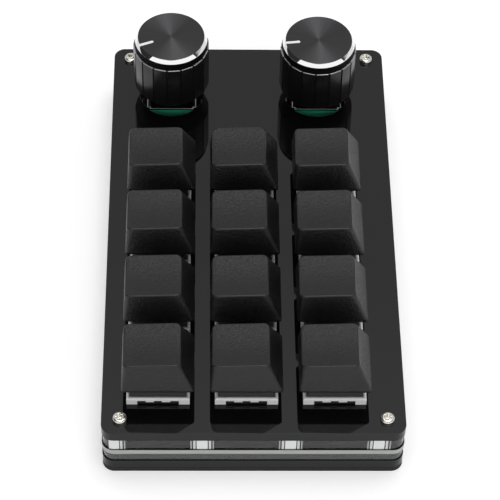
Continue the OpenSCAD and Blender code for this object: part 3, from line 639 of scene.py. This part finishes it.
KNOB_RADIUS = 10.25 * MM
KNOB_HEIGHT = 18.2 * MM
NECK_RADIUS = 9.75 * MM
DISC_RADIUS = 8.95 * MM
DISC_BORDER, DISC_HOLLOW = 0.2 * MM, 0.06 * MM
CHAMFER_HEIGHT = 0.95 * MM
NECK_HEIGHT = 2.1 * MM
FOOT_HEIGHT, FOOT_IN = 1.9 * MM, 2.1 * MM
WELL_RADIUS, WELL_HEIGHT = 6.0 * MM, 5.6 * MM
BORE_RADIUS, BORE_HEIGHT = 3.03 * MM, 14 * MM
GROOVES, GROOVE_TURN = 17, math.radians(10)      # their number, and the first one's angle
GROOVE_HALF, GROOVE_DEPTH = 0.3 * MM, 0.3 * MM
LAND_FLATNESS = 0.7                              # 0 is the circle and 1 its chord
BODY_ROUNDING, CRISP_ROUNDING = 0.18 * MM, 0.03 * MM
ROUNDING_STEPS = 4
HIDDEN_CORNERS = 5                               # the profile's first corners, in the bore, well and foot
RIM_BAND, RIM_IN = 0.3 * MM, 0.25 * MM           # how far the rim's painted highlight reaches down, and inwards
DISC_START = 0.024 * MM                          # below the top, where the chamfer gives way to the disc
HAIR = 0.01 * MM
ON_AXIS = 1e-7                                   # metres: a point nearer to the axis has no angle of its own
SHARP_ANGLE = math.radians(40)


def rounded_profile(corners, radii):
    """A profile of straight lines whose corners are rounded by quadratic arcs of about the given sizes, none
    of which takes up more than 0.45 of a line."""
    corners = np.array(corners, float)
    points = [corners[:1]]
    for before, here, after, radius in zip(corners[:-2], corners[1:-1], corners[2:], radii):
        reach = min(radius, 0.45 * np.linalg.norm(here - before), 0.45 * np.linalg.norm(after - here))
        start = here + (before - here) / np.linalg.norm(before - here) * reach
        end = here + (after - here) / np.linalg.norm(after - here) * reach
        t = np.linspace(0, 1, ROUNDING_STEPS)[:, None]
        points.append((1 - t) ** 2 * start + 2 * t * (1 - t) * here + t ** 2 * end)
    points.append(corners[-1:])
    return np.concatenate(points)


def knob_grid():
    """A turned shape: a rounded profile carried round the axis, its barrel cut by upright round grooves whose
    depth is the circle's height at each angle. The lands between them are part of the way from the circle to
    its chord. The face is a hair hollow, as a shallow parabola.
    Returns the grid and the rows where the barrel's upper edge, the neck, the chamfer and the disc start,
    each with the number of its finish in make_knob."""
    barrel_top = KNOB_HEIGHT - CHAMFER_HEIGHT - NECK_HEIGHT
    corners = [(0, BORE_HEIGHT), (BORE_RADIUS, BORE_HEIGHT), (BORE_RADIUS, WELL_HEIGHT),
               (WELL_RADIUS, WELL_HEIGHT), (WELL_RADIUS, 0), (KNOB_RADIUS - FOOT_IN, 0),
               (KNOB_RADIUS, FOOT_HEIGHT), (KNOB_RADIUS, barrel_top), (NECK_RADIUS, barrel_top),
               (NECK_RADIUS, KNOB_HEIGHT - CHAMFER_HEIGHT), (DISC_RADIUS, KNOB_HEIGHT), (0, KNOB_HEIGHT)]
    profile = rounded_profile(corners, [BODY_ROUNDING] * (len(corners) - 4) + [CRISP_ROUNDING] * 2)
    flat = DISC_RADIUS - DISC_BORDER
    share = np.linspace(1, 0, 9)[:-1]
    hollow = np.stack([flat * share, KNOB_HEIGHT - DISC_HOLLOW * (1 - share ** 2)], axis=1)
    profile = np.concatenate([profile[:-1], hollow, [(0, KNOB_HEIGHT - DISC_HOLLOW)]])
    level = np.round(profile, 9)
    land = np.linspace(0, 1, 7)[1:-1]
    half = GROOVE_HALF / KNOB_RADIUS
    step = 2 * math.pi / GROOVES
    groove = np.linspace(-half, half, 9)
    offsets = np.concatenate([groove, half + land * (step - 2 * half)])
    angles = np.concatenate([GROOVE_TURN + k * step + offsets for k in range(GROOVES)])
    depth = np.tile(np.concatenate([np.sqrt(np.maximum(0, 1 - (groove / half) ** 2)), land * 0]), GROOVES)
    radius = profile[:, :1] + 0 * angles[None, :]
    on_barrel = (profile[:, :1] > NECK_RADIUS - FOOT_IN) & (profile[:, 1:] < barrel_top + HAIR)
    reach = (step / 2 - half) * np.concatenate([groove * 0 + 1, 1 - 2 * land])
    chord = math.cos(step / 2 - half) / np.cos(reach)
    sunk = KNOB_RADIUS * LAND_FLATNESS * (1 - np.tile(chord, GROOVES))
    bottom = KNOB_RADIUS - GROOVE_DEPTH * depth
    radius = np.where(on_barrel, np.minimum(radius - sunk, bottom), radius)
    grid = np.stack([radius * np.cos(angles), radius * np.sin(angles), profile[:, 1:] + 0 * angles], axis=-1)
    outside = np.arange(len(level)) > HIDDEN_CORNERS * ROUNDING_STEPS

    def first(reached):
        return int(np.argmax(outside & reached))
    rim = first(level[:, 1] > barrel_top - RIM_BAND)
    neck = first((level[:, 1] > barrel_top - HAIR) & (level[:, 0] < KNOB_RADIUS - RIM_IN))
    chamfer = first(level[:, 1] > KNOB_HEIGHT - CHAMFER_HEIGHT - HAIR)
    disc = first(level[:, 1] > KNOB_HEIGHT - DISC_START)
    return grid, [(rim, 3), (neck, 4), (chamfer, 2), (disc, 1)]


def polar_map(mesh, axis):
    """A UV map for turned metal: U is the distance from the axis, so that its direction is the tangent across
    the rings, and V is the angle. A face takes its corners' angles next to its own middle's, so none spans
    the seam."""
    spots = np.zeros(len(mesh.vertices) * 3)
    mesh.vertices.foreach_get("co", spots)
    spots = spots.reshape(-1, 3)[:, :2] - np.array([axis.x, axis.y])
    vertex = np.zeros(len(mesh.loops), int)
    mesh.loops.foreach_get("vertex_index", vertex)
    corners = np.zeros(len(mesh.polygons), int)
    mesh.polygons.foreach_get("loop_total", corners)
    face = np.repeat(np.arange(len(mesh.polygons)), corners)
    spots = spots[vertex]
    middle = np.stack([np.bincount(face, spots[:, k]) for k in (0, 1)], axis=1)
    own = np.arctan2(middle[:, 1], middle[:, 0])[face]
    reach = np.hypot(spots[:, 0], spots[:, 1])
    around = np.arctan2(spots[:, 1], spots[:, 0]) - own
    around = own + np.where(reach < ON_AXIS, 0, (around + math.pi) % (2 * math.pi) - math.pi)
    uv = mesh.uv_layers.new(name="round")
    uv.data.foreach_set("uv", np.stack([reach / KNOB_RADIUS, around / (2 * math.pi)], axis=1).ravel())


def carved(mesh, cutters):
    """The mesh with the cutters' closed shapes taken away, its sharp edges kept sharp."""
    scene = bpy.context.scene.collection
    holder = bpy.data.objects.new(mesh.name + "_blank", mesh)
    scene.objects.link(holder)
    tools = []
    for cutter in cutters:
        tool = bpy.data.objects.new(cutter.name, cutter)
        scene.objects.link(tool)
        tools.append(tool)
        taken = holder.modifiers.new(cutter.name, "BOOLEAN")
        taken.operation, taken.solver, taken.object = "DIFFERENCE", "EXACT", tool
    shape = bpy.data.meshes.new_from_object(holder.evaluated_get(bpy.context.evaluated_depsgraph_get()))
    for used in [holder] + tools:
        data = used.data
        bpy.data.objects.remove(used)
        bpy.data.meshes.remove(data)
    shape.set_sharp_from_angle(angle=SHARP_ANGLE)
    return shape


POINTER_HALF, POINTER_START, POINTER_DEPTH = 0.425 * MM, 5.1 * MM, 0.25 * MM
PAINT_LEVEL, PAINT_FLOOR = -0.02 * MM, -0.24 * MM     # over the disc
PAINT_END = 0.22 * MM                                 # below the disc, where the chamfer cuts the paint off
SCREW_HOLE_RADIUS, SCREW_HOLE_HEIGHT = 1.53 * MM, 10.5 * MM
SCREW_HOLE_START = 1.5 * MM                           # from the axis, inside the bore
PAST_METAL = 1 * MM                                   # how far a cutter stands out of what it cuts


def pointer_outline(far, half):
    """The engraved line seen from above: a half circle at its inner end, a square end at the given reach."""
    turn = np.linspace(math.pi / 2, 3 * math.pi / 2, 13)
    tip = np.stack([POINTER_START + half + half * np.cos(turn), half * np.sin(turn)], axis=1)
    return np.concatenate([tip, [[far, -half], [far, half]]])


def slab(name, low_outline, low, high_outline, high):
    """A closed block between two outlines at two heights."""
    middle = high_outline.mean(axis=0)
    grid = np.stack([ring(low_outline * 0 + middle, low), ring(low_outline, low), ring(high_outline, high),
                     ring(high_outline * 0 + middle, high)])
    mesh = grid_mesh(name, grid)
    mesh.polygons.foreach_set("use_smooth", np.zeros(len(mesh.polygons), bool))
    return mesh


def make_knob(side, pointer_angle):
    """A turned knob, bored for its set screw at the back, with the pointer line engraved and filled with
    paint."""
    node = "knob_" + side
    low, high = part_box(node)
    axis = Vector(((low.x + high.x) / 2, (low.y + high.y) / 2, low.z))
    grid, finishes = knob_grid()
    mesh = grid_mesh(node + "_turned", grid)
    row_finishes(mesh, grid, finishes)
    turned = Matrix.Translation((0, 0, KNOB_HEIGHT)) @ Matrix.Rotation(pointer_angle, 4, "Z")
    groove = slab("groove", pointer_outline(KNOB_RADIUS, POINTER_HALF), -POINTER_DEPTH,
                  pointer_outline(KNOB_RADIUS, POINTER_HALF), PAST_METAL)
    groove.transform(turned)
    circle = np.linspace(0, 2 * math.pi, 33)[:-1]
    hole = SCREW_HOLE_RADIUS * np.stack([np.cos(circle), np.sin(circle)], axis=1)
    bore = slab("bore", hole, SCREW_HOLE_START, hole, KNOB_RADIUS + PAST_METAL)
    bore.transform(Matrix.Translation((0, 0, SCREW_HOLE_HEIGHT)) @ Matrix.Rotation(-math.pi / 2, 4, "X"))
    for finish in (KNOB_BODY, spun_top(side, axis), KNOB_EDGE, KNOB_RIM_HIGHLIGHT, KNOB_NECK_SHADE):
        mesh.materials.append(finish)
    mesh = carved(mesh, [groove, bore])
    mesh.transform(Matrix.Translation(axis))
    polar_map(mesh, axis)
    piece(node + "_turned", mesh, "dial_" + side, [], node)
    snug = POINTER_HALF - HAIR
    slope = (NECK_RADIUS - DISC_RADIUS) / CHAMFER_HEIGHT
    paint = slab("pointer_" + side, pointer_outline(DISC_RADIUS + PAINT_END * slope, snug), PAINT_FLOOR,
                 pointer_outline(DISC_RADIUS - PAINT_LEVEL * slope, snug), PAINT_LEVEL)
    paint.transform(Matrix.Translation(axis) @ turned)
    piece("pointer_" + side, paint, "dial_" + side, [PAINT])


for side, angle in (("left", math.radians(202)), ("right", math.radians(187))):
    make_knob(side, angle)


# ---------------------------------------------------------------- corner screws

HEAD_RADIUS, HEAD_HEIGHT = 1.75 * MM, 1.3 * MM
HEAD_FINE = 1.35 * MM                                 # rings lie closest within this radius
HEAD_CROWN = 0.1 * MM                                 # how much the crown falls off
RIM_START, RIM_WIDTH, RIM_DROP = 1.15 * MM, 0.6 * MM, 0.55 * MM
HEAD_BEVEL = 0.05 * MM                                # at the head's seat
RECESS_LONG, RECESS_HALF, RECESS_DEPTH = 1.05 * MM, 0.3 * MM, 0.8 * MM
RECESS_DRAFT, RECESS_FLOOR = 0.035 * MM, 1.25         # softness of the walls, and length of the level floor
SHANK_RADIUS, SHANK_LENGTH, SHANK_POINT = 1.0 * MM, 16 * MM, 0.2 * MM
SCREW_TURNS = (25, 70, 40, 12)                        # degrees, from front left to back right


def screw_grid(turn):
    """A pan head with a cross recess over a plain shank. The head's height falls off towards its rim as a
    rounded step, and the recess is cut from it: deepest in the middle and shallower towards its four ends."""
    radii = np.concatenate([np.linspace(0, HEAD_FINE, 28), np.linspace(HEAD_FINE, HEAD_RADIUS, 9)[1:]])
    angles = np.linspace(0, 2 * math.pi, 97)[:-1]
    x = radii[:, None] * np.cos(angles - turn)
    y = radii[:, None] * np.sin(angles - turn)
    rim = np.clip((radii - RIM_START) / RIM_WIDTH, 0, 1)[:, None]
    crown = HEAD_HEIGHT - HEAD_CROWN * (radii[:, None] / HEAD_RADIUS) ** 2
    dome = crown - RIM_DROP * (1 - np.sqrt(1 - rim ** 2))

    def slot(along, across):
        wide = 1 / (1 + np.exp((np.abs(across) - RECESS_HALF) / RECESS_DRAFT))
        return wide * np.clip(RECESS_FLOOR * (1 - (along / RECESS_LONG) ** 2), 0, 1)
    cut = np.maximum(slot(x, y), slot(y, x)) * RECESS_DEPTH
    top = np.stack([radii[:, None] * np.cos(angles), radii[:, None] * np.sin(angles), dome - cut], axis=-1)
    top[0, :, 2] = HEAD_HEIGHT - RECESS_DEPTH
    circle = np.stack([np.cos(angles), np.sin(angles)], axis=1)
    below = [ring(circle * HEAD_RADIUS, HEAD_BEVEL), ring(circle * (HEAD_RADIUS - HEAD_BEVEL), 0),
             ring(circle * SHANK_RADIUS, 0), ring(circle * SHANK_RADIUS, SHANK_POINT - SHANK_LENGTH),
             ring(circle * 0, -SHANK_LENGTH)]
    return np.concatenate([top, np.stack(below)])


def make_screws():
    """The four corner screws, each stopped at its own angle."""
    low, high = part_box("corner_screws")
    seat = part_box("top_plate")[1].z
    places = [(x, y, seat) for y in (low.y + HEAD_RADIUS, high.y - HEAD_RADIUS)
              for x in (low.x + HEAD_RADIUS, high.x - HEAD_RADIUS)]
    screws = [screw_grid(math.radians(turn)) + place for turn, place in zip(SCREW_TURNS, places)]
    mesh = joined("corner_screws_pan_head", screws)
    piece("corner_screws_pan_head", mesh, "case", [NICKEL], "corner_screws")


make_screws()


# ---------------------------------------------------------------- nodes that keep their own shape

# The width of each node's rounded edges in millimetres, and its finish or finishes.
FINISHES = {"top_plate": (0.12, ACRYLIC_BLACK, CUT_EDGE), "upper_spacer": (0.12, PAINTED_WINDOW_GUIDE),
            "circuit_board": (0.04, BOARD), "lower_spacer": (0.12, ACRYLIC_CLEAR),
            "base_plate": (0.22, ACRYLIC_BLACK, CUT_EDGE), "switch_covers": (0.1, SWITCH_BLACK),
            "switch_bases": (0.08, SWITCH_MILKY), "encoder_covers": (0.38, CAST),
            "encoder_bases": (0.1, ENCODER), "usb_socket": (0.06, SHELL)}
PLAIN = {"anti_slip_mat": RUBBER, "corner_nuts": NICKEL, "controller_chip": CHIP, "diodes": CHIP,
         "contact_pins": BRASS}
for side in ("left", "right"):
    PLAIN["encoder_rotor_" + side] = ROTOR
    PLAIN["encoder_shaft_" + side] = SHAFT
    PLAIN["set_screw_" + side] = BLACKED
for number in range(1, 13):
    PLAIN["stem_%d" % number] = STEM

for node, (width, *finishes) in FINISHES.items():
    softened(node, width, finishes)
for node, finish in PLAIN.items():
    for holder in nodes[node].material_slots:
        holder.material = finish


# ---------------------------------------------------------------- studio and camera

WALL_LEVELS = ((0.0, 0.18), (0.55, 0.24), (0.77, 0.30), (0.9, 0.5), (0.97, 0.9))    # (direction's Z, level)
DIM, BRIGHT = 0.14, 2.8              # what the wall's levels are multiplied by, in front and behind
LAMP_DIM, LAMP_BRIGHT = 0.35, 1.4    # and overhead, beside the lamp and on it
PANEL_BRIGHT = 1.3
PAPER_GLOW = 0.42                    # light added to the floor as the camera sees it
FLOOR_REACH = 10.0                   # metres


def studio_world():
    """A studio by direction, the same for every ray. Low down it is a white wall all round, a little higher
    at the right. In front stands a white panel with darkness above it. Behind, a grey wall brightens
    towards a wide light overhead, which is dim at the left and at the far right."""
    world = bpy.data.worlds.new("studio")
    bpy.context.scene.world = world
    world.use_nodes = True
    tree = world.node_tree
    tree.nodes.clear()
    coords = add(tree, "ShaderNodeTexCoord")
    way = add(tree, "ShaderNodeSeparateXYZ", links={"Vector": coords.outputs["Generated"]})
    soft = {"interpolation_type": "SMOOTHSTEP"}

    # the wall behind and the sky above it
    wall = add(tree, "ShaderNodeValToRGB", links={"Fac": way.outputs["Z"]})
    grey_stops(wall.color_ramp, WALL_LEVELS)
    turned = add(tree, "ShaderNodeMath", {1: 0.3}, {0: way.outputs["X"], 2: way.outputs["Y"]},
                 operation="MULTIPLY_ADD")
    behind = add(tree, "ShaderNodeMapRange",
                 {"From Min": 0.05, "From Max": 0.3, "To Min": DIM, "To Max": BRIGHT},
                 {"Value": turned.outputs[0]}, **soft)
    above = add(tree, "ShaderNodeMapRange", {"From Min": 0.86, "From Max": 0.96, "To Max": BRIGHT},
                {"Value": way.outputs["Z"]}, **soft)
    lit = add(tree, "ShaderNodeMath", links={0: behind.outputs[0], 1: above.outputs[0]}, operation="MAXIMUM")
    room = add(tree, "ShaderNodeMath", links={0: wall.outputs["Color"], 1: lit.outputs[0]},
               operation="MULTIPLY")

    # the lamp overhead, between its left and its right end
    left_end = add(tree, "ShaderNodeMapRange", {"From Min": -0.08, "From Max": 0.08},
                   {"Value": way.outputs["X"]}, **soft)
    right_end = add(tree, "ShaderNodeMapRange", {"From Min": 0.45, "From Max": 0.15},
                    {"Value": way.outputs["X"]}, **soft)
    lamp = add(tree, "ShaderNodeMath", links={0: left_end.outputs[0], 1: right_end.outputs[0]},
               operation="MULTIPLY")
    share = add(tree, "ShaderNodeMapRange", {"To Min": LAMP_DIM, "To Max": LAMP_BRIGHT},
                {"Value": lamp.outputs[0]})
    overhead = add(tree, "ShaderNodeMapRange", {"From Min": 0.82, "From Max": 0.88},
                   {"Value": way.outputs["Z"]}, **soft)
    shared = add(tree, "ShaderNodeMix", {"A": 1.0}, {"Factor": overhead.outputs[0], "B": share.outputs[0]})
    far = add(tree, "ShaderNodeMath", links={0: room.outputs[0], 1: shared.outputs[0]}, operation="MULTIPLY")

    # the low wall all round and the panel in front
    tipped = add(tree, "ShaderNodeMath", {1: -0.05}, {0: way.outputs["X"], 2: way.outputs["Z"]},
                 operation="MULTIPLY_ADD")
    low_wall = add(tree, "ShaderNodeMapRange", {"From Min": 0.228, "From Max": 0.218},
                   {"Value": tipped.outputs[0]}, **soft)
    ahead = add(tree, "ShaderNodeMath", {1: -0.1}, {0: way.outputs["X"], 2: way.outputs["Y"]},
                operation="MULTIPLY_ADD")
    panel = add(tree, "ShaderNodeMapRange", {"From Min": -0.332, "From Max": -0.338},
                {"Value": ahead.outputs[0]}, **soft)
    below = add(tree, "ShaderNodeMapRange", {"From Min": 0.665, "From Max": 0.655, "To Max": PANEL_BRIGHT},
                {"Value": way.outputs["Z"]}, **soft)
    front = add(tree, "ShaderNodeMath", links={0: panel.outputs[0], 1: below.outputs[0]},
                operation="MULTIPLY")
    white = add(tree, "ShaderNodeMath", links={0: low_wall.outputs[0], 1: front.outputs[0]},
                operation="MAXIMUM")

    strength = add(tree, "ShaderNodeMath", links={0: far.outputs[0], 1: white.outputs[0]},
                   operation="MAXIMUM")
    back = add(tree, "ShaderNodeBackground", links={"Strength": strength.outputs[0]})
    add(tree, "ShaderNodeOutputWorld", links={"Surface": back.outputs[0]})


def floor():
    """A pale sheet under the keypad. To the camera, and to metal, glass and clear plastic, it is white paper
    with the keypad's faint shadow; to everything else it is the plain sheet."""
    mesh = bpy.data.meshes.new("floor")
    corners = [(x * FLOOR_REACH, y * FLOOR_REACH, 0) for x, y in ((-1, -1), (1, -1), (1, 1), (-1, 1))]
    mesh.from_pydata(corners, [], [(0, 1, 2, 3)])
    sheet = bpy.data.objects.new("floor", mesh)
    bpy.context.scene.collection.objects.link(sheet)
    made = bpy.data.materials.new("pale_sheet")
    made.use_nodes = True
    tree = made.node_tree
    tree.nodes.clear()
    rays = add(tree, "ShaderNodeLightPath")
    paper = add(tree, "ShaderNodeBsdfDiffuse", {"Color": linear("e8e8e8")})
    glow = add(tree, "ShaderNodeEmission", {"Strength": PAPER_GLOW})
    shown = add(tree, "ShaderNodeAddShader", links={0: paper.outputs[0], 1: glow.outputs[0]})
    seen = rays.outputs["Is Camera Ray"]
    for kind in ("Is Glossy Ray", "Is Transmission Ray"):
        either = add(tree, "ShaderNodeMath", links={0: seen, 1: rays.outputs[kind]}, operation="MAXIMUM")
        seen = either.outputs[0]
    mix = add(tree, "ShaderNodeMixShader", links={0: seen, 1: paper.outputs[0], 2: shown.outputs[0]})
    add(tree, "ShaderNodeOutputMaterial", links={"Surface": mix.outputs[0]})
    mesh.materials.append(made)


def softbox(name, place, target, size, power):
    """An area lamp that faces the keypad."""
    lamp = bpy.data.lights.new(name, "AREA")
    lamp.shape = "RECTANGLE"
    lamp.size, lamp.size_y = size
    lamp.energy = power
    holder = bpy.data.objects.new(name, lamp)
    bpy.context.scene.collection.objects.link(holder)
    holder.location = place
    holder.rotation_mode = "QUATERNION"
    holder.rotation_quaternion = (Vector(target) - Vector(place)).to_track_quat("-Z", "Y")


CAMERA_X, CAMERA_Y = -12.38 * MM, -380.02 * MM
CAMERA_RISE = 451.33 * MM                        # over the top plate
CAMERA_AIM = (0.020606, 0.636445, -0.771047)
CAMERA_ROLL = math.radians(1.574)
SENSOR_MM, LENS_MM = 36, 161.58
NEAREST, FURTHEST = 0.05, 20                     # metres


def camera():
    """The camera stands in front of and above the keypad, with a long lens and a slight roll."""
    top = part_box("top_plate")[1].z
    data = bpy.data.cameras.new("camera")
    data.sensor_width, data.lens = SENSOR_MM, LENS_MM
    data.clip_start, data.clip_end = NEAREST, FURTHEST
    holder = bpy.data.objects.new("camera", data)
    bpy.context.scene.collection.objects.link(holder)
    holder.location = (CAMERA_X, CAMERA_Y, CAMERA_RISE + top)
    holder.rotation_mode = "QUATERNION"
    turn = Vector(CAMERA_AIM).to_track_quat("-Z", "Y")
    holder.rotation_quaternion = turn @ Quaternion((0, 0, 1), CAMERA_ROLL)
    bpy.context.scene.camera = holder


studio_world()
floor()
softbox("overhead", place=(0, 0.05, 1.1), target=(0, 0, 0), size=(0.9, 0.9), power=3)
camera()
bpy.context.scene.view_settings.view_transform = "Standard"
